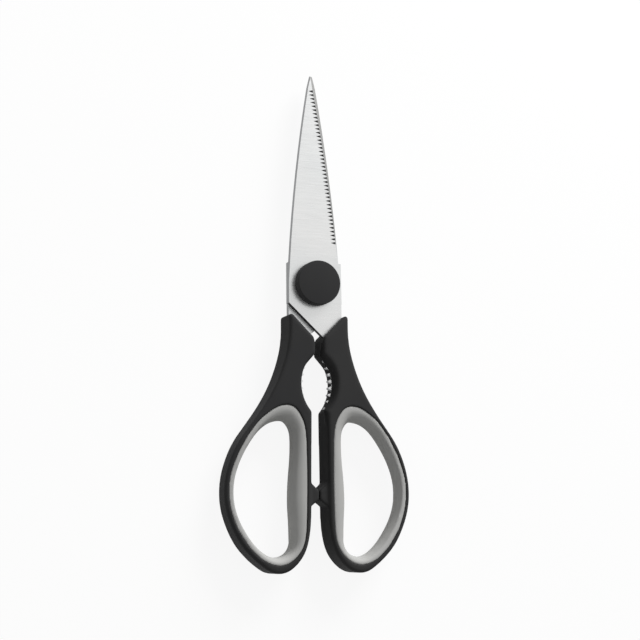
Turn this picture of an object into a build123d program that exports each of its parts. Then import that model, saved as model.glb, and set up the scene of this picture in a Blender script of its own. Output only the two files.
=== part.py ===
from build123d import *
from math import asin, cos, degrees, radians, sin, sqrt, tan
import os

# Kitchen shears lying flat on their back, blades closed.
# Origin: the pivot axis, on the surface that the shears lie on.
# +Y points to the blade tips, +X to the right-hand handle, +Z up to the front.

os.makedirs("parts", exist_ok=True)

# Whole pair
handle_thickness = 13.0
blade_gap = 0.1
overrun = 5.0

# Blades
blade_reach = 90.8
blade_thickness = 2.5
blade_lean_deg = 0.75
plate_spine_half = 12.0
plate_edge_half = 11.3
plate_edge_top = 9.0
plate_edge_step = 0.25
spine_mid_half = 8.3
edge_mid_half = 7.6
curve_mid_share = 0.48
nose_length = 5.6
nose_spine_half = 1.7
nose_edge_half = 1.05
nose_tip_half = 0.35
bevel_width = 1.05
bevel_land = 0.2
hollow_depth = 0.15
hollow_margin = 2.4
hollow_start = 20.0
hollow_end = 72.0

# Micro-serration of the front blade
notch_count = 41
notch_start = 17.8
notch_end = 83.4
notch_length = 2.0
notch_underrun = 0.9
notch_half_angle_deg = 19.0

# Tangs, from the pivot plate down into the handles
heel_drop = 8.4
heel_angle_deg = 43.0
tang_inner_x = 4.6
tang_side_wall = 1.6
tang_width = 2.8
tang_reach = 74.0
tang_shoulder_x = 12.4
tang_shoulder_top = 29.0
tang_shoulder_bottom = 46.0
tang_waist_drop = 57.0
moulding_gap = 0.05

# Gripping jaw between the handles
jaw_drop = 42.2
jaw_radius = 17.2
jaw_half_width = 7.8
teeth_radius = 28.0
teeth_half_width = 5.2
teeth_span = 20.6
tooth_gap_count = 7
tooth_depth = 2.1
tooth_gap_tip_half = 1.1
tooth_gap_root_half = 0.35

# Handles
handle_reach = 119.3
loop_half_width = 40.35
neck_half_width = 13.0
shoulder_drop = 13.5
shoulder_top_width = 1.4
shoulder_foot_x = 2.6
shoulder_angle_deg = 45.0
slot_half = 3.9
slot_taper = 0.45
slot_end_drop = 93.5
neck_corner_radius = 0.95
crown_start_x = 16.0
crown_radius = 170.0
handle_edge_size = 0.8

# Stations along the curved outlines: how far across and how far down their box,
# and how many degrees the outline has turned clockwise from +X there.
outer_station_shares = (
    (0.0, 0.05, 90),
    (0.181, 0.258, 67),
    (0.496, 0.398, 54),
    (0.843, 0.529, 64),
    (1.0, 0.694, 90),
    (0.798, 0.87, 120),
    (0.508, 0.956, 140),
    (0.17, 1.0, 180),
)
inner_station_shares = (
    (0.432, 0.756, 236),
    (0.125, 0.485, 258),
    (0.0, 0.0, 270),
)

# Stops that meet when the shears close
stop_top_drop = 82.5
stop_face_top_drop = 86.0
stop_face_bottom_drop = 89.8
stop_bottom_drop = 92.6
stop_thickness = 10.0
stop_gap = 0.3

# Finger loops: where hard rim meets soft grip, and the hole for the fingers
rim_slot_width = 1.75
rim_outer_width = 1.75
rim_bottom_width = 3.2
rim_top_drop = 51.2
grip_slot_width = 5.15
grip_outer_width = 2.5
grip_bottom_width = 3.4
grip_top_width = 6.5
core_edge_share = 0.38
core_half_thickness = 3.8
grip_face_inset = 0.3
grip_flare_share = 0.75
grip_flare_steps = 5
rim_station_shares = (
    (0.26, 0.0, 0),
    (0.505, 0.051, 36),
    (0.812, 0.237, 60),
    (1.0, 0.539, 90),
    (0.86, 0.801, 121),
    (0.602, 0.955, 144),
    (0.366, 1.0, 180),
    (0.108, 0.926, 233),
    (0.011, 0.727, 269),
    (0.0, 0.45, 270),
    (0.009, 0.228, 271),
    (0.056, 0.091, 293),
)
hole_station_shares = (
    (0.175, 0.0, 0),
    (0.482, 0.045, 36),
    (0.81, 0.233, 60),
    (1.0, 0.533, 90),
    (0.846, 0.776, 120),
    (0.577, 0.938, 138),
    (0.292, 1.0, 180),
    (0.051, 0.942, 240),
    (0.032, 0.824, 271),
    (0.055, 0.551, 268),
    (0.0, 0.16, 270),
    (0.04, 0.049, 298),
)

# Pivot
journal_radius = 3.0
running_gap = 0.05
key_flat_half = 2.4
thread_radius = 2.4
screw_head_radius = 7.6
screw_head_chamfer = 0.8
thrust_washer_radius = 6.4
thrust_washer_thickness = 0.4
spring_washer_radius = 5.6
spring_washer_thickness = 0.5
spring_washer_rise = 0.4
nut_radius = 6.6
nut_height = 2.2
nut_slot_width = 1.2
nut_slot_depth = 0.8
cap_radius = 8.9
cap_height = 5.2
cap_roof = 1.3
cap_edge_size = 0.7
cap_float = 0.15
cap_bore_gap = 0.05

# Heights and planes that follow from the sizes above
mid_z = handle_thickness / 2
front_plane = Plane.XY.offset(mid_z + blade_gap / 2)
rear_plane = Plane(origin=(0, 0, mid_z - blade_gap / 2), x_dir=(-1, 0, 0), z_dir=(0, 0, -1))
blade_front_z = mid_z + blade_gap / 2 + blade_thickness
blade_rear_z = mid_z - blade_gap / 2 - blade_thickness

# Blade outline above the pivot, seen on the blade's outer face:
# the spine on the left, the cutting edge on the right.
nose_base = blade_reach - nose_length
curve_mid = nose_base * curve_mid_share
with BuildSketch() as blade_outline:
    with BuildLine():
        spine_arc = ThreePointArc(
            (-plate_spine_half, 0),
            (-spine_mid_half, curve_mid),
            (-nose_spine_half, nose_base),
        )
        Polyline(
            spine_arc @ 1,
            (-nose_tip_half, blade_reach - nose_tip_half),
            (0, blade_reach),
            (nose_tip_half, blade_reach - 2 * nose_tip_half),
            (nose_edge_half, nose_base),
        )
        edge_arc = ThreePointArc(
            (nose_edge_half, nose_base),
            (edge_mid_half, curve_mid),
            (plate_edge_half - plate_edge_step, plate_edge_top),
        )
        Polyline(
            edge_arc @ 1,
            (plate_edge_half, plate_edge_top),
            (plate_edge_half, -heel_drop),
            (-plate_spine_half, -heel_drop),
            spine_arc @ 0,
        )
    make_face()

# The hollow on the blade's inner face: only its margins touch the other blade.
spine_side = []
edge_side = []
for hollow_y in (hollow_start, hollow_end):
    spine_point = spine_arc @ (hollow_y / nose_base)
    edge_point = edge_arc @ ((nose_base - hollow_y) / (nose_base - plate_edge_top))
    spine_side.append((spine_point.X + hollow_margin, hollow_y))
    edge_side.append((edge_point.X - hollow_margin, hollow_y))
with BuildSketch() as hollow_outline:
    Polygon(*spine_side, *reversed(edge_side), align=None)

# Tang outline, same view: from the pivot plate down into the right handle.
teeth_centre_x = teeth_half_width - teeth_radius
teeth_end_x = teeth_centre_x + sqrt(teeth_radius**2 - (teeth_span / 2) ** 2)
teeth_top = (teeth_end_x, teeth_span / 2 - jaw_drop)
teeth_bottom = (teeth_end_x, -teeth_span / 2 - jaw_drop)
tang_outer_x = slot_half + tang_side_wall + tang_width
diagonal_fall = (plate_spine_half + tang_inner_x) * tan(radians(heel_angle_deg))


def tang_sketch(grown=0.0):
    """The tang's outline; grown a little, it is the pocket in the handle's moulding."""
    with BuildSketch() as tang:
        with BuildLine():
            ThreePointArc(teeth_bottom, (teeth_half_width, -jaw_drop), teeth_top)
            Polyline(
                teeth_top,
                (tang_inner_x, teeth_top[1] + tang_side_wall),
                (tang_inner_x, -heel_drop - diagonal_fall),
                (-plate_spine_half, -heel_drop),
                (-plate_spine_half, 0),
                (plate_edge_half, 0),
                (plate_edge_half, -shoulder_drop),
                (tang_shoulder_x, -tang_shoulder_top),
                (tang_shoulder_x, -tang_shoulder_bottom),
                (tang_outer_x, -tang_waist_drop),
                (tang_outer_x, -tang_reach),
                (slot_half + tang_side_wall, -tang_reach),
                (slot_half + tang_side_wall, teeth_bottom[1] - tang_side_wall),
                teeth_bottom,
            )
        make_face()
        if grown:
            offset(amount=grown, kind=Kind.INTERSECTION)
    return tang.sketch


# The gaps between the jaw teeth, wide at the tips and narrow at the roots.
teeth_half_angle = degrees(asin(teeth_span / 2 / teeth_radius))
tooth_pitch_angle = 2 * teeth_half_angle / (tooth_gap_count + 0.5)
with BuildSketch() as tooth_gaps:
    with Locations((teeth_centre_x, -jaw_drop)):
        with PolarLocations(
            teeth_radius,
            tooth_gap_count,
            start_angle=-tooth_pitch_angle * (tooth_gap_count - 1) / 2,
            angular_range=tooth_pitch_angle * tooth_gap_count,
        ):
            Polygon(
                (tooth_depth, -tooth_gap_root_half),
                (tooth_depth, tooth_gap_root_half),
                (-tooth_depth, 2 * tooth_gap_tip_half - tooth_gap_root_half),
                (-tooth_depth, tooth_gap_root_half - 2 * tooth_gap_tip_half),
                align=None,
            )

# The serration is a row of V grooves ground across the bevel, all in one direction.
groove_run = notch_length + bevel_width
groove_fall = blade_thickness + notch_underrun
groove_span = sqrt(groove_run**2 + groove_fall**2)
groove_half_width = groove_fall * tan(radians(notch_half_angle_deg))


def groove_plane(blade_plane):
    """The plane square to the grooves, through the top of the blade's outer face."""
    along_groove = blade_plane.x_dir * groove_run - blade_plane.z_dir * groove_fall
    return Plane(
        origin=blade_plane.from_local_coords((0, 0, blade_thickness)),
        x_dir=blade_plane.y_dir,
        z_dir=along_groove,
    )


def groove_sketch():
    """All the grooves end-on, each V deepening towards the cutting edge."""
    with BuildSketch() as grooves:
        for index in range(notch_count):
            share = index / (notch_count - 1)
            notch_y = notch_start + (notch_end - notch_start) * share
            edge_point = edge_arc @ ((nose_base - notch_y) / (nose_base - plate_edge_top))
            bottom = (edge_point.X - groove_run) * groove_fall / groove_span
            Polygon(
                (edge_point.Y, bottom),
                (edge_point.Y + groove_half_width, bottom + groove_fall),
                (edge_point.Y - groove_half_width, bottom + groove_fall),
                align=None,
            )
    return grooves.sketch


for blade_name, base_plane, lean in (
    ("front_blade", front_plane, blade_lean_deg),
    ("rear_blade", rear_plane, -blade_lean_deg),
):
    leaning_plane = base_plane.rotated((0, 0, lean))
    outward = Axis(base_plane.origin, base_plane.z_dir)
    edgeward = Axis(base_plane.origin, base_plane.x_dir)
    with BuildPart() as blade:
        with BuildSketch(leaning_plane):
            add(blade_outline.sketch)
        extrude(amount=blade_thickness)
        outer_edges = blade.edges().filter_by(GeomType.CIRCLE).group_by(outward)[-1]
        chamfer(
            outer_edges.sort_by(edgeward)[-1],
            length=bevel_width,
            length2=blade_thickness - bevel_land,
            reference=blade.faces().sort_by(outward)[-1],
        )
        if blade_name == "front_blade":
            with BuildSketch(groove_plane(leaning_plane)):
                add(groove_sketch())
            extrude(amount=groove_span, both=True, mode=Mode.SUBTRACT)
        with BuildSketch(leaning_plane):
            add(hollow_outline.sketch)
        extrude(amount=hollow_depth, mode=Mode.SUBTRACT)
        with BuildSketch(base_plane):
            add(tang_sketch())
            add(tooth_gaps.sketch, mode=Mode.SUBTRACT)
        extrude(amount=blade_thickness)
        with BuildSketch(base_plane):
            Circle(journal_radius + running_gap)
            if blade_name == "rear_blade":
                key_width = 2 * (key_flat_half + running_gap)
                Rectangle(key_width, 4 * journal_radius, mode=Mode.INTERSECT)
        extrude(amount=blade_thickness, mode=Mode.SUBTRACT)
    blade.part.label = blade_name
    export_step(blade.part, f"parts/{blade_name}.step")

# Handle outline, right-hand side
shoulder_inner_x = neck_half_width - shoulder_top_width
shoulder_fall = (shoulder_inner_x - shoulder_foot_x) * tan(radians(shoulder_angle_deg))
jaw_centre_x = jaw_half_width - jaw_radius
slot_top_half = slot_half - slot_taper
jaw_top_half = sqrt(jaw_radius**2 - (shoulder_foot_x - jaw_centre_x) ** 2)
jaw_bottom_half = sqrt(jaw_radius**2 - (slot_top_half - jaw_centre_x) ** 2)
shoulder_top = (shoulder_inner_x, -shoulder_drop)
shoulder_foot = (shoulder_foot_x, -shoulder_drop - shoulder_fall)
jaw_top = (shoulder_foot_x, jaw_top_half - jaw_drop)
jaw_bottom = (slot_top_half, -jaw_bottom_half - jaw_drop)


def place_stations(station_shares, left, right, top_drop, bottom_drop):
    """Stations as points, from their shares of a box, each with its turn in degrees."""
    return [
        (
            Vector(left + across * (right - left), -top_drop - down * (bottom_drop - top_drop)),
            turn,
        )
        for across, down, turn in station_shares
    ]


def join_stations(stations):
    """Joins each station to the next by two arcs that meet smoothly."""
    for (start, start_turn), (end, end_turn) in zip(stations, stations[1:]):
        leaving = Vector(1, 0).rotate(Axis.Z, -start_turn)
        arriving = Vector(1, 0).rotate(Axis.Z, -end_turn)
        chord = end - start
        along = chord.dot(leaving + arriving)
        spread = 2 * (1 - leaving.dot(arriving)) * chord.dot(chord)
        reach = chord.dot(chord) / (along + sqrt(along**2 + spread))
        middle = (start + end + (leaving - arriving) * reach) / 2
        first_arc = TangentArc(start, middle, tangent=leaving)
        TangentArc(middle, end, tangent=first_arc % 1)


outer_stations = place_stations(
    outer_station_shares, neck_half_width, loop_half_width, shoulder_drop, handle_reach
)
inner_stations = place_stations(
    inner_station_shares, slot_half, neck_half_width, slot_end_drop, handle_reach
)
with BuildSketch() as handle_outline:
    with BuildLine():
        join_stations(outer_stations + inner_stations)
        Line((slot_half, -slot_end_drop), jaw_bottom)
        ThreePointArc(jaw_bottom, (jaw_half_width, -jaw_drop), jaw_top)
        Polyline(
            jaw_top,
            shoulder_foot,
            shoulder_top,
            (neck_half_width, -shoulder_drop),
            outer_stations[0][0],
        )
    make_face()
    fillet(handle_outline.vertices().group_by(Axis.Y)[-1].sort_by(Axis.X)[-1], neck_corner_radius)


def crown_sketch(inset=0.0):
    """Section through both handles: flat beside the slot, thinner towards the outside."""
    crown_angle = degrees(asin((loop_half_width + overrun - crown_start_x) / crown_radius))
    with BuildSketch() as crown:
        with BuildLine():
            front = JernArc(
                (crown_start_x, handle_thickness - inset), (1, 0), crown_radius, -crown_angle
            )
            back = JernArc((crown_start_x, inset), (1, 0), crown_radius, crown_angle)
            Line(front @ 1, back @ 1)
            Polyline(front @ 0, (0, handle_thickness - inset), (0, inset), back @ 0)
        make_face()
    return crown.sketch


# Finger loop outlines, as stations that can be blended from the hole to the rim
rim_inner = slot_half + rim_slot_width
rim_outer = loop_half_width - rim_outer_width
rim_bottom = handle_reach - rim_bottom_width
rim_stations = place_stations(
    rim_station_shares, rim_inner, rim_outer, rim_top_drop, rim_bottom
)
hole_stations = place_stations(
    hole_station_shares,
    rim_inner + grip_slot_width,
    rim_outer - grip_outer_width,
    rim_top_drop + grip_top_width,
    rim_bottom - grip_bottom_width,
)


def loop_sketch(rim_share):
    """A closed loop outline: the finger hole at share 0, the grip's outer edge at share 1."""
    stations = [
        (hole + (rim - hole) * rim_share, hole_turn + (rim_turn - hole_turn) * rim_share)
        for (hole, hole_turn), (rim, rim_turn) in zip(hole_stations, rim_stations)
    ]
    with BuildSketch() as loop:
        with BuildLine():
            join_stations([*stations, stations[0]])
        make_face()
    return loop.sketch


# One handle's moulding, right-hand side, still without its tang pocket
with BuildPart() as shell:
    with BuildSketch():
        add(handle_outline.sketch)
    extrude(amount=handle_thickness)
    with BuildSketch(Plane.XZ):
        add(crown_sketch())
    extrude(amount=handle_reach + overrun, mode=Mode.INTERSECT)
    walls = shell.faces().filter_by_position(
        Axis.Z, mid_z - core_half_thickness, mid_z + core_half_thickness
    )
    chamfer(walls.edges().filter_by(Axis.Z, reverse=True), handle_edge_size)
    with BuildSketch(Plane.XY.offset(mid_z + core_half_thickness)):
        add(loop_sketch(1.0))
    extrude(amount=handle_thickness, mode=Mode.SUBTRACT)
    with BuildSketch(Plane.XY.offset(mid_z - core_half_thickness)):
        add(loop_sketch(1.0))
    extrude(amount=-handle_thickness, mode=Mode.SUBTRACT)
    with BuildSketch():
        add(loop_sketch(core_edge_share))
    extrude(amount=handle_thickness, mode=Mode.SUBTRACT)
    with BuildSketch(Plane.XY.offset(mid_z)):
        Polygon(
            (slot_half + rim_slot_width, -stop_top_drop),
            (slot_half, -stop_top_drop),
            (stop_gap / 2, -stop_face_top_drop),
            (stop_gap / 2, -stop_face_bottom_drop),
            (slot_half, -stop_bottom_drop),
            (slot_half + rim_slot_width, -stop_bottom_drop),
            align=None,
        )
    extrude(amount=stop_thickness / 2, both=True)

with BuildPart() as right_handle:
    add(shell.part)
    with BuildSketch(front_plane):
        add(tang_sketch(grown=moulding_gap))
    extrude(amount=blade_thickness + moulding_gap, mode=Mode.SUBTRACT)
right_handle.part.label = "right_handle"
export_step(right_handle.part, "parts/right_handle.step")

with BuildPart() as left_handle:
    mirror(shell.part, about=Plane.YZ)
    with BuildSketch(rear_plane):
        add(tang_sketch(grown=moulding_gap))
    extrude(amount=blade_thickness + moulding_gap, mode=Mode.SUBTRACT)
left_handle.part.label = "left_handle"
export_step(left_handle.part, "parts/left_handle.step")

# Soft ring in each finger loop: it wraps round the hard core, and its hole flares to both faces.
with BuildPart() as right_grip:
    with BuildSketch():
        add(loop_sketch(1.0))
    extrude(amount=handle_thickness)
    with BuildSketch(Plane.XZ):
        add(crown_sketch(inset=grip_face_inset))
    extrude(amount=handle_reach + overrun, mode=Mode.INTERSECT)
    for step in range(grip_flare_steps + 1):
        tilt = radians(180 * step / grip_flare_steps - 90)
        with BuildSketch(Plane.XY.offset(mid_z + mid_z * sin(tilt))):
            add(loop_sketch(grip_flare_share * (1 - cos(tilt))))
    loft(ruled=True, mode=Mode.SUBTRACT)
    with BuildSketch(Plane.XY.offset(mid_z)):
        add(loop_sketch(1.0))
        add(loop_sketch(core_edge_share), mode=Mode.SUBTRACT)
    extrude(amount=core_half_thickness, both=True, mode=Mode.SUBTRACT)
right_grip.part.label = "right_grip"
export_step(right_grip.part, "parts/right_grip.step")

with BuildPart() as left_grip:
    mirror(right_grip.part, about=Plane.YZ)
left_grip.part.label = "left_grip"
export_step(left_grip.part, "parts/left_grip.step")

# Pivot, from the back to the front
journal_top = blade_front_z + running_gap
thrust_washer_top = journal_top + thrust_washer_thickness
nut_bottom = thrust_washer_top + spring_washer_rise + spring_washer_thickness
nut_top = nut_bottom + nut_height
cap_bottom = blade_front_z + cap_float
cap_top = blade_front_z + cap_height

with BuildPart() as pivot_screw:
    with BuildSketch():
        Circle(screw_head_radius)
    extrude(amount=blade_rear_z)
    chamfer(pivot_screw.edges().sort_by(Axis.Z)[0], screw_head_chamfer)
    with BuildSketch(Plane.XY.offset(blade_rear_z)):
        Circle(journal_radius)
        Rectangle(2 * key_flat_half, 2 * journal_radius, mode=Mode.INTERSECT)
    extrude(amount=blade_thickness)
    with BuildSketch(Plane.XY.offset(blade_rear_z + blade_thickness)):
        Circle(journal_radius)
    extrude(amount=journal_top - blade_rear_z - blade_thickness)
    with BuildSketch(Plane.XY.offset(journal_top)):
        Circle(thread_radius)
    extrude(amount=nut_top - journal_top)
pivot_screw.part.label = "pivot_screw"
export_step(pivot_screw.part, "parts/pivot_screw.step")

with BuildPart() as thrust_washer:
    with BuildSketch(Plane.XY.offset(journal_top)):
        Circle(thrust_washer_radius)
        Circle(thread_radius + running_gap, mode=Mode.SUBTRACT)
    extrude(amount=thrust_washer_thickness)
thrust_washer.part.label = "thrust_washer"
export_step(thrust_washer.part, "parts/thrust_washer.step")

with BuildPart() as spring_washer:
    with BuildSketch(Plane.XZ):
        Polygon(
            (thread_radius + running_gap, thrust_washer_top + spring_washer_rise),
            (spring_washer_radius, thrust_washer_top),
            (spring_washer_radius, thrust_washer_top + spring_washer_thickness),
            (thread_radius + running_gap, nut_bottom),
            align=None,
        )
    revolve(axis=Axis.Z)
spring_washer.part.label = "spring_washer"
export_step(spring_washer.part, "parts/spring_washer.step")

with BuildPart() as pivot_nut:
    with BuildSketch(Plane.XY.offset(nut_bottom)):
        Circle(nut_radius)
        Circle(thread_radius + running_gap, mode=Mode.SUBTRACT)
    extrude(amount=nut_height)
    with BuildSketch(Plane.XY.offset(nut_top)):
        Rectangle(2 * nut_radius, nut_slot_width)
    extrude(amount=-nut_slot_depth, mode=Mode.SUBTRACT)
pivot_nut.part.label = "pivot_nut"
export_step(pivot_nut.part, "parts/pivot_nut.step")

with BuildPart() as pivot_cap:
    with BuildSketch(Plane.XY.offset(cap_bottom)):
        Circle(cap_radius)
    extrude(amount=cap_top - cap_bottom)
    chamfer(pivot_cap.edges().sort_by(Axis.Z)[-1], cap_edge_size)
    with BuildSketch(Plane.XY.offset(cap_bottom)):
        Circle(nut_radius + cap_bore_gap)
    extrude(amount=cap_top - cap_roof - cap_bottom, mode=Mode.SUBTRACT)
pivot_cap.part.label = "pivot_cap"
export_step(pivot_cap.part, "parts/pivot_cap.step")
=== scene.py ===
import math

import bmesh
import bpy
from mathutils import Matrix, Vector
from mathutils.bvhtree import BVHTree


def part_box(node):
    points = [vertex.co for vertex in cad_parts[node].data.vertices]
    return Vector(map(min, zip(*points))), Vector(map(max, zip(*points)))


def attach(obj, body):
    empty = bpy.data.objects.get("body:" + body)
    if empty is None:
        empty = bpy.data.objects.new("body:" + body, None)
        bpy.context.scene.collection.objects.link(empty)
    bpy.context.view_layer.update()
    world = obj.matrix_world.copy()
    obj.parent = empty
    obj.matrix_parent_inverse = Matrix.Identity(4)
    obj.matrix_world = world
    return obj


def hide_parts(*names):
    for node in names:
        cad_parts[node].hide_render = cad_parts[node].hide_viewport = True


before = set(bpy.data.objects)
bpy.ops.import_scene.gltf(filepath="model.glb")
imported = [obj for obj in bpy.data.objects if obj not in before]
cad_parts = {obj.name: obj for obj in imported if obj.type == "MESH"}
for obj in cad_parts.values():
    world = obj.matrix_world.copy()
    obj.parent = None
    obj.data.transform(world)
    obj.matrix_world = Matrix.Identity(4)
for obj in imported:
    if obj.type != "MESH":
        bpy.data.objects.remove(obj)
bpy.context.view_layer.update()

# Kitchen shears on a pale floor, seen from above and a little from the left.
# Lengths are in metres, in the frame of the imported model: +Y to the tips, +Z out of the front.

MM = 0.001
white = (1, 1, 1, 1)

# The photograph's camera: where it stands as seen from the shears, and how it is framed
camera_left = 0.353
camera_below = 0.152
camera_roll = math.radians(-0.5)
camera_distance = 609 * MM
camera_target = Vector((0, 0, 6.5 * MM))
camera_offset_right = 2.56 * MM
camera_offset_up = -14.7 * MM
camera_sensor = 36.0  # in millimetres, as the camera wants it
camera_clip_near = camera_distance / 20
camera_clip_far = camera_distance * 40
photo_width = 640
photo_pixel = 0.42 * MM
frame_width = photo_width * photo_pixel

# Light: one large soft lamp from the upper right, and an even white room
key_direction = Vector((0.45, 0.80, 0.40)).normalized()
key_distance = 1.3
key_size = 0.7
key_power = 27.0
room_fill = 0.42
floor_half = 3.0
floor_colour = (0.84, 0.84, 0.835, 1)
floor_lift = 0.9

# The middle part of a noise's range, where most of it lies
noise_low = 0.3
noise_high = 0.7

# The rings that a lathe leaves on the pivot's steel
lathe_ring_width = 0.12 * MM

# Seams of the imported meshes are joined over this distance, and edges sharper than this stay creases
weld_distance = 0.001 * MM
crease_angle = math.radians(28)

# How upright the normals of a blade's flat faces are at least, and those of its sheared walls at most,
# and how far the normals of the grooves' walls turn along the blade at least
flat_face_min = 0.93
sheared_wall_max = 0.2
groove_wall_min = 0.6
groove_area_max = 20 * MM**2
serration_start = 12 * MM
heel_normal = Vector((-0.68, -0.73, 0))
heel_normal_min = 0.97

# The front blade's cutting edge before the blade leans, from near the tip down to the pivot plate
edge_arc_start = Vector((1.05, 85.2)) * MM
edge_arc_middle = Vector((7.6, 40.896)) * MM
edge_arc_end = Vector((11.05, 9.0)) * MM
blade_lean = math.radians(0.75)

# The grooves ground across that edge: each has a run towards it and a fall on the way.
# The cutter for one groove is a V prism that overruns the groove at both ends. Its corner 0 is
# the bottom of the V at one end, and corner 3 is the same at the other.
groove_count = 41
groove_first_y = 17.8 * MM
groove_last_y = 83.4 * MM
groove_run = 3.1 * MM
groove_fall = 3.4 * MM
groove_height = 1.9 * MM
groove_half_angle = math.radians(21)
groove_overrun = 1.0 * MM
prism_faces = ((0, 1, 2), (5, 4, 3), (0, 3, 4, 1), (1, 4, 5, 2), (2, 5, 3, 0))

# The rear blade seen closed: how far it shifts behind the front one, at mid-length and at the tip,
# and the part of its inner face that carries painted shade from the front blade
rear_tuck_middle = 1.05 * MM
rear_tuck_tip = 1.65 * MM
margin_depth = 0.3 * MM
margin_shade_from = 8 * MM
margin_shade_to = 24 * MM

# Cap over the pivot nut
cap_radius = 9.3 * MM
cap_bore_radius = 6.65 * MM
cap_top_drop = 0.9 * MM
cap_roof = 0.5 * MM
cap_rounding = 0.35 * MM
cap_rounding_steps = 5
cap_sides = 128

# Skins of the moulded handles and the soft grips. Smoothing is held back near the neighbouring
# part: none up to the pinned distance from it, and all of it from the free distance on.
skin_voxel = 0.4 * MM
skin_pinned = 0.5 * MM
skin_free = 1.6 * MM
smoothing_factor = 0.5
handle_smoothing = 14
grip_smoothing = 24

# The noses of the handles, between blade and jaw. The lean fades out towards the nose's ends,
# and the larger the blend, the later it does.
nose_middle_y = -29.0 * MM
nose_half_length = 7.0 * MM
nose_width = 7.0 * MM
nose_lean = 0.85 * MM
nose_blend = 2.5

# The jaw's wall in the right handle, between these heights: it leans over the roots of the teeth
# and comes down a little, most at its foot
jaw_centre = Vector((-9.4, -42.2, 0)) * MM
jaw_radius = 17.2 * MM
jaw_wall_low = 9.0 * MM
jaw_wall_high = 12.5 * MM
jaw_wall_lean = 1.6 * MM
jaw_wall_seat = 0.35 * MM
jaw_wall_blend = 4.5 * MM


def add_object(name, data):
    """A new object in the scene that shows the data."""
    added = bpy.data.objects.new(name, data)
    bpy.context.scene.collection.objects.link(added)
    return added


def aim_camera():
    """Places the camera at the photograph's angle."""
    back = Vector((-camera_left, -camera_below, 0))
    back.z = math.sqrt(1 - camera_left**2 - camera_below**2)
    up = (Vector((0, 1, 0)) - back * back.y).normalized()
    right = up.cross(back)
    rolled_right = right * math.cos(camera_roll) + up * math.sin(camera_roll)
    rolled_up = up * math.cos(camera_roll) - right * math.sin(camera_roll)
    place = camera_target + rolled_right * camera_offset_right + rolled_up * camera_offset_up
    place += back * camera_distance
    data = bpy.data.cameras.new("camera")
    data.sensor_width = camera_sensor
    data.lens = camera_sensor * camera_distance / frame_width
    data.clip_start = camera_clip_near
    data.clip_end = camera_clip_far
    camera = add_object("camera", data)
    turn = Matrix((rolled_right, rolled_up, back)).transposed()
    camera.matrix_world = Matrix.Translation(place) @ turn.to_4x4()
    bpy.context.scene.camera = camera


def seen_rays(nodes, links):
    """Is 1 for what the camera sees directly, in gloss or through glass, and 0 for other light."""
    rays = nodes.new("ShaderNodeLightPath")
    seen = rays.outputs["Is Camera Ray"]
    for kind in ("Is Glossy Ray", "Is Transmission Ray"):
        either = nodes.new("ShaderNodeMath")
        either.operation = "MAXIMUM"
        links.new(seen, either.inputs[0])
        links.new(rays.outputs[kind], either.inputs[1])
        seen = either.outputs[0]
    return seen


def light_scene():
    """One soft key lamp, and a room that is white to the camera and in reflections."""
    data = bpy.data.lights.new("key", "AREA")
    data.shape = "SQUARE"
    data.size = key_size
    data.energy = key_power
    key = add_object("key", data)
    key.location = key_direction * key_distance
    key.rotation_euler = key_direction.to_track_quat("Z", "Y").to_euler()
    world = bpy.data.worlds.new("room")
    world.use_nodes = True
    nodes = world.node_tree.nodes
    links = world.node_tree.links
    nodes.clear()
    fill = nodes.new("ShaderNodeBackground")
    fill.inputs["Strength"].default_value = room_fill
    fill.inputs["Color"].default_value = white
    backdrop = nodes.new("ShaderNodeBackground")
    backdrop.inputs["Color"].default_value = white
    mix = nodes.new("ShaderNodeMixShader")
    links.new(seen_rays(nodes, links), mix.inputs["Fac"])
    links.new(fill.outputs[0], mix.inputs[1])
    links.new(backdrop.outputs[0], mix.inputs[2])
    output = nodes.new("ShaderNodeOutputWorld")
    links.new(mix.outputs[0], output.inputs["Surface"])
    bpy.context.scene.world = world


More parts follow.
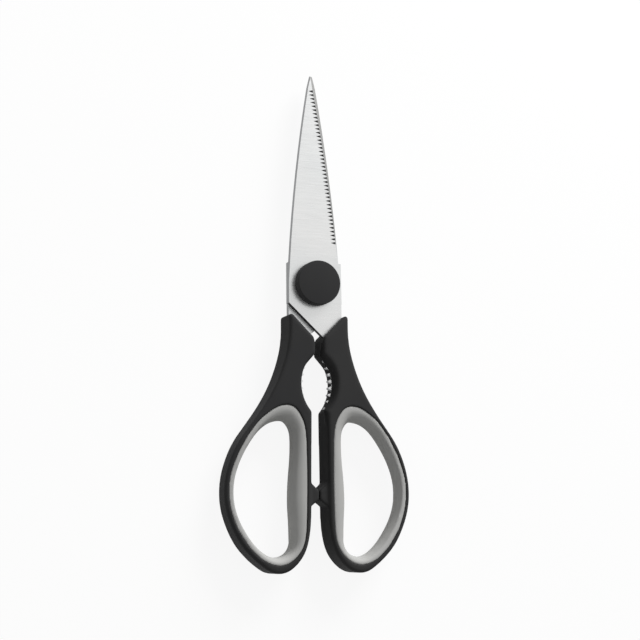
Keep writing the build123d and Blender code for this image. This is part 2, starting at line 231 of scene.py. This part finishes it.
class Finish:
    """A procedural material that starts from one principled shader."""

    def __init__(self, name, roughness, metallic=0.0, specular=0.5):
        self.material = bpy.data.materials.new(name)
        self.material.use_nodes = True
        self.nodes = self.material.node_tree.nodes
        self.links = self.material.node_tree.links
        self.shader = self.nodes["Principled BSDF"]
        self.shader.inputs["Metallic"].default_value = metallic
        self.shader.inputs["Roughness"].default_value = roughness
        self.shader.inputs["Specular IOR Level"].default_value = specular
        self.place = self.nodes.new("ShaderNodeTexCoord").outputs["Object"]
        self.bumped = None

    def noise(self, grain, detail=2.0, stretch=(1, 1, 1)):
        """Noise whose grains are that long in metres, divided by stretch along each axis."""
        mapping = self.nodes.new("ShaderNodeMapping")
        mapping.inputs["Scale"].default_value = [share / grain for share in stretch]
        self.links.new(self.place, mapping.inputs["Vector"])
        texture = self.nodes.new("ShaderNodeTexNoise")
        texture.inputs["Scale"].default_value = 1.0
        texture.inputs["Detail"].default_value = detail
        self.links.new(mapping.outputs[0], texture.inputs["Vector"])
        return texture.outputs["Fac"]

    def along(self, axis, start, end):
        """Runs from 0 to 1 between two places along an axis of the model."""
        split = self.nodes.new("ShaderNodeSeparateXYZ")
        self.links.new(self.place, split.inputs[0])
        share = self.nodes.new("ShaderNodeMapRange")
        share.inputs["From Min"].default_value = start
        share.inputs["From Max"].default_value = end
        self.links.new(split.outputs[axis], share.inputs["Value"])
        return share.outputs["Result"]

    def colour(self, source, at_low, at_high, low=noise_low, high=noise_high):
        """The base colour runs from one colour to the other as the source runs from low to high."""
        ramp = self.nodes.new("ShaderNodeValToRGB")
        ramp.color_ramp.elements[0].position = low
        ramp.color_ramp.elements[0].color = (*at_low, 1)
        ramp.color_ramp.elements[1].position = high
        ramp.color_ramp.elements[1].color = (*at_high, 1)
        self.links.new(source, ramp.inputs["Fac"])
        self.links.new(ramp.outputs["Color"], self.shader.inputs["Base Color"])

    def roughness(self, source, smooth, rough):
        """The roughness runs from smooth to rough as the noise does."""
        spread = self.nodes.new("ShaderNodeMapRange")
        spread.inputs["From Min"].default_value = noise_low
        spread.inputs["From Max"].default_value = noise_high
        spread.inputs["To Min"].default_value = smooth
        spread.inputs["To Max"].default_value = rough
        self.links.new(source, spread.inputs["Value"])
        self.links.new(spread.outputs["Result"], self.shader.inputs["Roughness"])

    def bump(self, source, depth, strength):
        """The source raises the surface by up to depth. Later bumps add to earlier ones."""
        node = self.nodes.new("ShaderNodeBump")
        node.inputs["Strength"].default_value = strength
        node.inputs["Distance"].default_value = depth
        self.links.new(source, node.inputs["Height"])
        if self.bumped:
            self.links.new(self.bumped, node.inputs["Normal"])
        self.bumped = node.outputs["Normal"]
        self.links.new(self.bumped, self.shader.inputs["Normal"])


def blade_face_steel():
    """Satin stainless steel with fine grinding marks across the blade."""
    finish = Finish("blade_face_steel", roughness=0.3, metallic=1.0)
    clouds = finish.noise(grain=24 * MM, detail=3.0)
    marks = finish.noise(grain=0.16 * MM, detail=3.0, stretch=(0.02, 1, 1))
    finish.colour(clouds, at_low=(0.62, 0.63, 0.63), at_high=(0.665, 0.665, 0.66))
    finish.roughness(marks, smooth=0.26, rough=0.34)
    finish.bump(marks, depth=0.004 * MM, strength=0.5)
    return finish.material


def blade_bevel_steel():
    """The bevel, ground down towards the edge."""
    finish = Finish("blade_bevel_steel", roughness=0.3, metallic=1.0)
    marks = finish.noise(grain=0.1 * MM, stretch=(0.2, 1, 0.1))
    finish.colour(marks, at_low=(0.36, 0.365, 0.37), at_high=(0.48, 0.485, 0.49))
    finish.roughness(marks, smooth=0.24, rough=0.36)
    finish.bump(marks, depth=0.004 * MM, strength=0.5)
    return finish.material


def blade_wall_steel_and_shade():
    """The sheared and tumbled sides of the blade stock, rougher, and darker partly for that finish and
    partly as painted shade.
    """
    finish = Finish("blade_wall_steel_and_shade", roughness=0.45, metallic=1.0)
    streaks = finish.noise(grain=0.25 * MM, detail=3.0, stretch=(1, 1, 0.15))
    finish.colour(streaks, at_low=(0.22, 0.225, 0.23), at_high=(0.36, 0.365, 0.37))
    finish.roughness(streaks, smooth=0.38, rough=0.55)
    finish.bump(streaks, depth=0.01 * MM, strength=0.6)
    return finish.material


def groove_painted_shade():
    """The walls of the fine serration, with painted shade: dark because little light gets into them."""
    finish = Finish("groove_painted_shade", roughness=0.5, metallic=1.0)
    marks = finish.noise(grain=0.1 * MM, stretch=(0.2, 1, 0.2))
    finish.colour(marks, at_low=(0.12, 0.12, 0.12), at_high=(0.17, 0.17, 0.17))
    finish.roughness(marks, smooth=0.45, rough=0.6)
    finish.bump(marks, depth=0.004 * MM, strength=0.4)
    return finish.material


def blade_margin_painted_shade():
    """The rear blade's inner face, with painted shade where the front blade lies over and beside it."""
    finish = Finish("blade_margin_painted_shade", roughness=0.4, metallic=1.0)
    shade_share = finish.along("Y", margin_shade_from, margin_shade_to)
    marks = finish.noise(grain=0.16 * MM, detail=3.0, stretch=(0.02, 1, 1))
    finish.colour(shade_share, at_low=(0.68, 0.69, 0.69), at_high=(0.27, 0.27, 0.265), low=0.0, high=1.0)
    finish.roughness(marks, smooth=0.34, rough=0.46)
    finish.bump(marks, depth=0.004 * MM, strength=0.5)
    return finish.material


def heel_painted_shade():
    """The sheared heel of the front blade, with painted shade that makes it nearly black."""
    finish = Finish("heel_painted_shade", roughness=0.6, metallic=1.0)
    streaks = finish.noise(grain=0.25 * MM, detail=3.0, stretch=(1, 1, 0.15))
    finish.colour(streaks, at_low=(0.012, 0.012, 0.012), at_high=(0.03, 0.03, 0.03))
    finish.bump(streaks, depth=0.01 * MM, strength=0.5)
    return finish.material


def blade_steels():
    """The blades' steels by name, in the order of their places in a blade's list of materials."""
    return {
        "face": blade_face_steel(),
        "bevel": blade_bevel_steel(),
        "wall": blade_wall_steel_and_shade(),
        "groove": groove_painted_shade(),
        "margin": blade_margin_painted_shade(),
        "heel": heel_painted_shade(),
    }


def handle_plastic(name="handle_plastic"):
    """Matte black moulding with a fine spark-eroded grain."""
    finish = Finish(name, roughness=0.55, specular=0.02)
    clouds = finish.noise(grain=30 * MM)
    grain = finish.noise(grain=0.22 * MM, detail=3.0)
    finish.colour(clouds, at_low=(0.030, 0.030, 0.031), at_high=(0.036, 0.036, 0.036))
    finish.roughness(grain, smooth=0.5, rough=0.64)
    finish.bump(grain, depth=0.02 * MM, strength=0.35)
    return finish.material


def grip_rubber():
    """Soft grey rubber, smooth with a faint bloom."""
    finish = Finish("grip_rubber", roughness=0.65, specular=0.2)
    clouds = finish.noise(grain=18 * MM, detail=3.0)
    grain = finish.noise(grain=0.35 * MM, detail=3.0)
    finish.colour(clouds, at_low=(0.35, 0.351, 0.341), at_high=(0.378, 0.377, 0.368))
    finish.roughness(grain, smooth=0.58, rough=0.72)
    finish.bump(grain, depth=0.02 * MM, strength=0.3)
    return finish.material


def turned_steel():
    """Pivot hardware with the rings that a lathe leaves round the axis."""
    finish = Finish("turned_steel", roughness=0.3, metallic=1.0)
    split = finish.nodes.new("ShaderNodeSeparateXYZ")
    finish.links.new(finish.place, split.inputs[0])
    flat = finish.nodes.new("ShaderNodeCombineXYZ")
    finish.links.new(split.outputs["X"], flat.inputs["X"])
    finish.links.new(split.outputs["Y"], flat.inputs["Y"])
    radius = finish.nodes.new("ShaderNodeVectorMath")
    radius.operation = "LENGTH"
    finish.links.new(flat.outputs[0], radius.inputs[0])
    texture = finish.nodes.new("ShaderNodeTexNoise")
    texture.noise_dimensions = "1D"
    texture.inputs["Scale"].default_value = 1 / lathe_ring_width
    finish.links.new(radius.outputs["Value"], texture.inputs["W"])
    rings = texture.outputs["Fac"]
    finish.colour(rings, at_low=(0.5, 0.505, 0.51), at_high=(0.62, 0.62, 0.625))
    finish.roughness(rings, smooth=0.24, rough=0.38)
    finish.bump(rings, depth=0.008 * MM, strength=0.6)
    return finish.material


def washer_plastic():
    """Natural white low-friction plastic."""
    finish = Finish("washer_plastic", roughness=0.4)
    clouds = finish.noise(grain=2 * MM)
    finish.colour(clouds, at_low=(0.78, 0.77, 0.73), at_high=(0.84, 0.83, 0.8))
    return finish.material


def floor_paint():
    """Plain pale studio floor, part of it lit evenly as the camera sees it."""
    finish = Finish("floor_paint", roughness=0.9, specular=0.0)
    finish.shader.inputs["Base Color"].default_value = floor_colour
    share = finish.nodes.new("ShaderNodeMath")
    share.operation = "MULTIPLY"
    share.inputs[1].default_value = floor_lift
    finish.links.new(seen_rays(finish.nodes, finish.links), share.inputs[0])
    even = finish.nodes.new("ShaderNodeEmission")
    even.inputs["Strength"].default_value = 1.0
    even.inputs["Color"].default_value = white
    mix = finish.nodes.new("ShaderNodeMixShader")
    finish.links.new(share.outputs[0], mix.inputs["Fac"])
    finish.links.new(finish.shader.outputs[0], mix.inputs[1])
    finish.links.new(even.outputs[0], mix.inputs[2])
    finish.links.new(mix.outputs[0], finish.nodes["Material Output"].inputs["Surface"])
    return finish.material


def cover(mesh, *materials):
    """Gives a mesh its materials, with the first of them on every face."""
    mesh.materials.clear()
    for material in materials:
        mesh.materials.append(material)
    for polygon in mesh.polygons:
        polygon.material_index = 0


def blade_finish(node, polygon, rear_inner_z):
    """Which of the blades' steels a face shows, told from the way it faces and where it lies."""
    normal = polygon.normal
    if node == "front_blade":
        in_serration = polygon.center.y > serration_start
        # Groove walls get a steel painted dark as shade.
        if in_serration and abs(normal.y) > groove_wall_min and polygon.area < groove_area_max:
            return "groove"
        # The heel gets a steel painted nearly black as shade.
        if normal.dot(heel_normal) > heel_normal_min:
            return "heel"
    # Sheared walls get a steel that is darker, partly as painted shade.
    if abs(normal.z) < sheared_wall_max:
        return "wall"
    if abs(normal.z) < flat_face_min:
        return "bevel"
    # Part of the rear blade's inner face gets a steel with painted shade.
    if node == "rear_blade" and polygon.center.z > rear_inner_z - margin_depth:
        return "margin"
    return "face"


def dress_blades(steels):
    """Each face of the blades gets the finish of its own grinding."""
    places = list(steels)
    rear_inner_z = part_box("rear_blade")[1].z
    for node in ("front_blade", "rear_blade"):
        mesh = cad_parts[node].data
        cover(mesh, *steels.values())
        for polygon in mesh.polygons:
            polygon.material_index = places.index(blade_finish(node, polygon, rear_inner_z))


def weld_seams(piece):
    """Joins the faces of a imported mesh, which come apart at their edges."""
    weld = piece.modifiers.new("weld", "WELD")
    weld.merge_threshold = weld_distance


def apply_modifiers(piece):
    """Leaves a piece with the mesh that its modifiers made."""
    bpy.context.view_layer.update()
    graph = bpy.context.evaluated_depsgraph_get()
    piece.data = bpy.data.meshes.new_from_object(piece.evaluated_get(graph))
    piece.modifiers.clear()


def soften_shading(mesh):
    """Smooth shading, broken at the creases."""
    if "custom_normal" in mesh.attributes:
        mesh.attributes.remove(mesh.attributes["custom_normal"])
    mesh.shade_smooth()
    mesh.set_sharp_from_angle(angle=crease_angle)


def arc_centre(start, middle, end):
    """The centre of the arc through three points, where the bisectors of its chords cross."""
    place_a = (start + middle) / 2
    place_b = (middle + end) / 2
    way_a = (middle - start).orthogonal()
    way_b = (end - middle).orthogonal()
    between = place_b - place_a
    share = (between.x * way_b.y - between.y * way_b.x) / (way_a.x * way_b.y - way_a.y * way_b.x)
    return place_a + way_a * share


def groove_ends():
    """Where each groove meets the front blade's cutting edge, seen from the front."""
    centre = arc_centre(edge_arc_start, edge_arc_middle, edge_arc_end)
    first = edge_arc_start - centre
    last = edge_arc_end - centre
    first_angle = math.atan2(first.y, first.x)
    last_angle = math.atan2(last.y, last.x)
    lean = Matrix.Rotation(blade_lean, 2)
    ends = []
    for index in range(groove_count):
        groove_y = groove_first_y + (groove_last_y - groove_first_y) * index / (groove_count - 1)
        share = (edge_arc_start.y - groove_y) / (edge_arc_start.y - edge_arc_end.y)
        angle = first_angle + (last_angle - first_angle) * share
        spoke = Vector((math.cos(angle), math.sin(angle))) * first.length
        ends.append(lean @ (centre + spoke))
    return ends


def groove_cutter(steels):
    """One V prism for each groove, sloping down from the blade's face to its cutting edge."""
    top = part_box("front_blade")[1].z
    span = math.hypot(groove_run, groove_fall)
    along = Vector((groove_run, 0, -groove_fall)) / span
    out = Vector((groove_fall, 0, groove_run)) / span
    half_width = groove_height * math.tan(groove_half_angle)
    corners = []
    faces = []
    for end in groove_ends():
        base = Vector((end.x - groove_run, end.y, top))
        first = len(corners)
        for travel in (-groove_overrun, span + groove_overrun):
            apex = base + along * travel
            corners.append(apex)
            for side in (-1, 1):
                corners.append(apex + out * groove_height + Vector((0, side * half_width, 0)))
        for face in prism_faces:
            faces.append([first + corner for corner in face])
    mesh = bpy.data.meshes.new("groove_cutter")
    mesh.from_pydata(corners, [], faces)
    for steel in steels.values():
        mesh.materials.append(steel)
    for polygon in mesh.polygons:
        polygon.material_index = list(steels).index("groove")
    return add_object("groove_cutter", mesh)


def serrate_front_blade(steels):
    """The front blade with every groove ground right through its cutting edge."""
    piece = add_object("front_blade_serrated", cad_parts["front_blade"].data.copy())
    cutter = groove_cutter(steels)
    weld_seams(piece)
    cut = piece.modifiers.new("grooves", "BOOLEAN")
    cut.operation = "DIFFERENCE"
    cut.solver = "EXACT"
    cut.object = cutter
    apply_modifiers(piece)
    bpy.data.objects.remove(cutter)
    soften_shading(piece.data)
    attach(piece, "front_half")
    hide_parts("front_blade")


def tuck_rear_blade():
    """The rear blade as it lies closed, hidden behind the front one but for a thin strip.

    Its shift grows along a parabola, from none at the pivot to the named sizes at mid-length and tip.
    """
    piece = add_object("rear_blade_tucked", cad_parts["rear_blade"].data.copy())
    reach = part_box("rear_blade")[1].y
    for vertex in piece.data.vertices:
        share = max(vertex.co.y, 0) / reach
        straight = (4 * rear_tuck_middle - rear_tuck_tip) * share
        curved = (2 * rear_tuck_tip - 4 * rear_tuck_middle) * share**2
        vertex.co.x -= straight + curved
    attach(piece, "rear_half")
    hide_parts("rear_blade")


def turn_cap(material):
    """The pivot cap, turned from its profile with a crisp rounded rim over a blind bore."""
    low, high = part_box("pivot_cap")
    top = high.z - cap_top_drop
    bore_top = top - cap_roof
    rim_radius = cap_radius - cap_rounding
    rim_z = top - cap_rounding
    profile = [(0, bore_top), (cap_bore_radius, bore_top), (cap_bore_radius, low.z), (cap_radius, low.z)]
    for step in range(cap_rounding_steps + 1):
        angle = math.pi / 2 * step / cap_rounding_steps
        radius = rim_radius + cap_rounding * math.cos(angle)
        profile.append((radius, rim_z + cap_rounding * math.sin(angle)))
    profile.append((0, top))
    mesh = bpy.data.meshes.new("pivot_cap_turned")
    shape = bmesh.new()
    points = [shape.verts.new((radius, 0, height)) for radius, height in profile]
    edges = [shape.edges.new(pair) for pair in zip(points, points[1:])]
    bmesh.ops.spin(
        shape,
        geom=points + edges,
        cent=(0, 0, 0),
        axis=(0, 0, 1),
        angle=2 * math.pi,
        steps=cap_sides,
        use_merge=True,
    )
    bmesh.ops.remove_doubles(shape, verts=shape.verts, dist=weld_distance)
    bmesh.ops.recalc_face_normals(shape, faces=shape.faces)
    shape.to_mesh(mesh)
    shape.free()
    soften_shading(mesh)
    cover(mesh, material)
    piece = add_object("pivot_cap_turned", mesh)
    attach(piece, "rear_half")
    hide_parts("pivot_cap")


def soft_skin(side, part, neighbour, smoothing, material, shape=None):
    """A moulded part's skin with soft edges, kept crisp where the part meets its neighbour."""
    node = f"{side}_{part}"
    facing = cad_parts[f"{side}_{neighbour}"].data
    corners = [vertex.co for vertex in facing.vertices]
    shell = BVHTree.FromPolygons(corners, [polygon.vertices for polygon in facing.polygons])
    piece = add_object(f"{node}_skin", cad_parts[node].data.copy())
    weld_seams(piece)
    voxels = piece.modifiers.new("voxels", "REMESH")
    voxels.mode = "VOXEL"
    voxels.voxel_size = skin_voxel
    voxels.use_smooth_shade = True
    apply_modifiers(piece)
    free = piece.vertex_groups.new(name="free")
    for vertex in piece.data.vertices:
        distance = shell.find_nearest(vertex.co)[3]
        weight = clamped((distance - skin_pinned) / (skin_free - skin_pinned))
        free.add([vertex.index], weight, "REPLACE")
        if shape:
            vertex.co = shape(vertex.co)
    smooth = piece.modifiers.new("smooth", "SMOOTH")
    smooth.factor = smoothing_factor
    smooth.iterations = smoothing
    smooth.vertex_group = "free"
    cover(piece.data, material)
    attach(piece, "rear_half" if side == "left" else "front_half")
    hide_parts(node)


def clamped(value):
    """The value, held between 0 and 1."""
    return min(max(value, 0.0), 1.0)


def shape_neck(place):
    """Leans both handles' noses together, and the jaw's wall over the teeth in the right handle."""
    near_nose = clamped(nose_blend * (1 - abs(place.y - nose_middle_y) / nose_half_length))
    near_nose *= clamped(nose_blend * (1 - abs(place.x) / nose_width))
    shaped = Vector((place.x - math.copysign(nose_lean * near_nose, place.x), place.y, place.z))
    outward = Vector((place.x, place.y, 0)) - jaw_centre
    if place.x > 0 and place.z > jaw_wall_low and outward.length > jaw_radius - jaw_wall_lean:
        share = clamped((jaw_wall_high - place.z) / (jaw_wall_high - jaw_wall_low))
        share *= clamped(1 - (outward.length - jaw_radius) / jaw_wall_blend)
        shaped -= outward.normalized() * jaw_wall_lean * share
        shaped.z -= jaw_wall_seat * share
    return shaped


def lay_floor():
    """A plane on the surface that the shears lie on."""
    mesh = bpy.data.meshes.new("floor")
    corners = [(x * floor_half, y * floor_half, 0) for x, y in ((-1, -1), (1, -1), (1, 1), (-1, 1))]
    mesh.from_pydata(corners, [], [(0, 1, 2, 3)])
    mesh.materials.append(floor_paint())
    floor = add_object("floor", mesh)


aim_camera()
light_scene()
lay_floor()
steels = blade_steels()
dress_blades(steels)
serrate_front_blade(steels)
tuck_rear_blade()
plastic = handle_plastic()
rubber = grip_rubber()
for side in ("left", "right"):
    soft_skin(side, "handle", "grip", handle_smoothing, plastic, shape_neck)
    soft_skin(side, "grip", "handle", grip_smoothing, rubber)
turn_cap(handle_plastic("cap_plastic"))
cover(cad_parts["thrust_washer"].data, washer_plastic())
hardware_steel = turned_steel()
for hardware in ("pivot_screw", "spring_washer", "pivot_nut"):
    cover(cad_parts[hardware].data, hardware_steel)

bpy.context.scene.view_settings.view_transform = "Standard"
